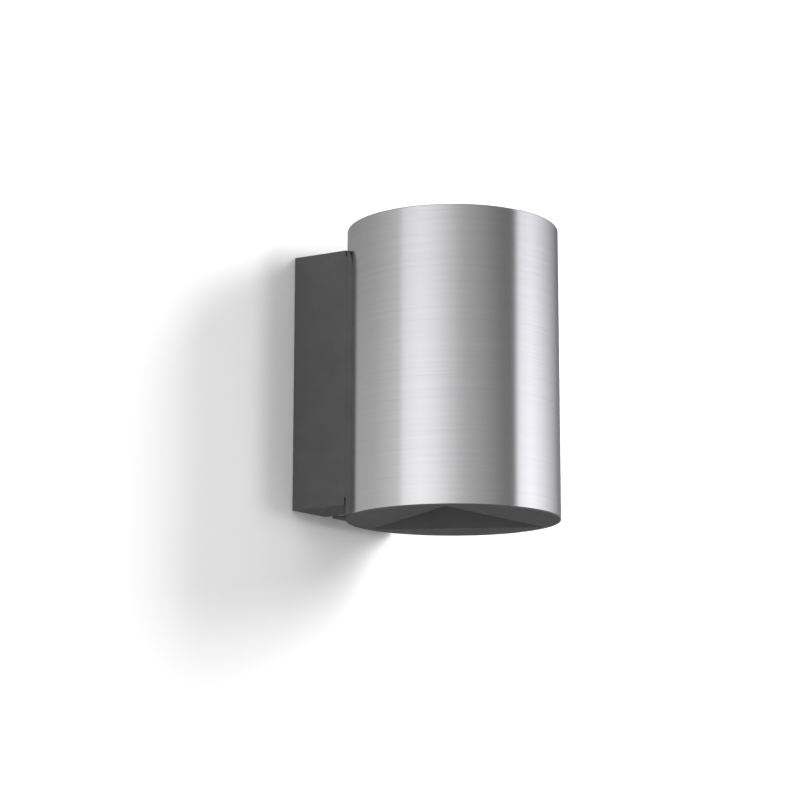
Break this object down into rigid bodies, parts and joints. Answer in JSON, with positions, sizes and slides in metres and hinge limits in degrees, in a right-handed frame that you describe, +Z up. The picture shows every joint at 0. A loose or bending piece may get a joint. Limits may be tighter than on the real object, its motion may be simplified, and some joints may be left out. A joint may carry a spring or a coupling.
{
  "type": "tube wall light",
  "caption": "Outdoor wall light: brushed steel tube on a flat dark wall box, with a three-sided recess for the downward light.",
  "frame": {"origin": "on the wall plane, at the middle of the box's width and height, midway between the two wall slots", "axes": "+Z up along the tube, +Y into the wall, +X to the right for someone facing the wall; the tube stands out along -Y"},
  "size_m": [0.09, 0.1018, 0.1248],
  "materials": {
    "brushed_steel": "fine brushing round the tube, satin",
    "top_steel": "fine straight brushing, satin",
    "dark_coating": "anthracite powder coat on die-cast aluminium, matt, very fine grain",
    "black_rubber": "matt",
    "zinc_steel": "bright zinc plating, satin",
    "foam_rubber": "open foam, matt",
    "stainless_screws": "satin",
    "white_nylon": "moulded, slightly glossy",
    "brass_screws": "turned, bright",
    "zinc_screws": "zinc plated",
    "tinned_brass": "tin plated, satin",
    "green_insulation": "green with yellow stripes, soft shine",
    "brown_insulation": "soft shine",
    "blue_insulation": "soft shine",
    "white_insulation": "soft shine",
    "frosted_glass": "frosted below, polished above",
    "silicone": "matt",
    "reflector_metal": "bright anodised",
    "phosphor": "yellow phosphor under clear resin",
    "board_mask": "white solder mask",
    "bare_aluminium": "as extruded",
    "driver_case": "moulded, matt"
  },
  "bodies": {
    "root": {"steel_tube": "brushed_steel", "top_disc": "top_steel", "bottom_cap": "dark_coating", "lamp_body": "dark_coating", "back_housing": "dark_coating", "joint_seals": "black_rubber", "wall_bracket": "zinc_steel", "wall_gasket": "foam_rubber", "housing_screw": "stainless_screws", "terminal_block": "white_nylon", "terminal_screws": "brass_screws", "terminal_fixing_screw": "zinc_screws", "earth_screw": "brass_screws", "earth_tag": "tinned_brass", "earth_lead": "green_insulation", "live_lead": "brown_insulation", "neutral_lead": "blue_insulation", "lead_grommet": "black_rubber", "body_screws": "zinc_screws", "lens": "frosted_glass", "lens_seal": "silicone", "reflector": "reflector_metal", "led_emitter": "phosphor", "led_board": "board_mask", "board_screws": "zinc_screws", "heat_sink": "bare_aluminium", "sink_screws": "zinc_screws", "led_driver": "driver_case", "driver_screws": "zinc_screws", "led_leads": "white_insulation", "cap_screws": "stainless_screws"}
  },
  "joints": []
}
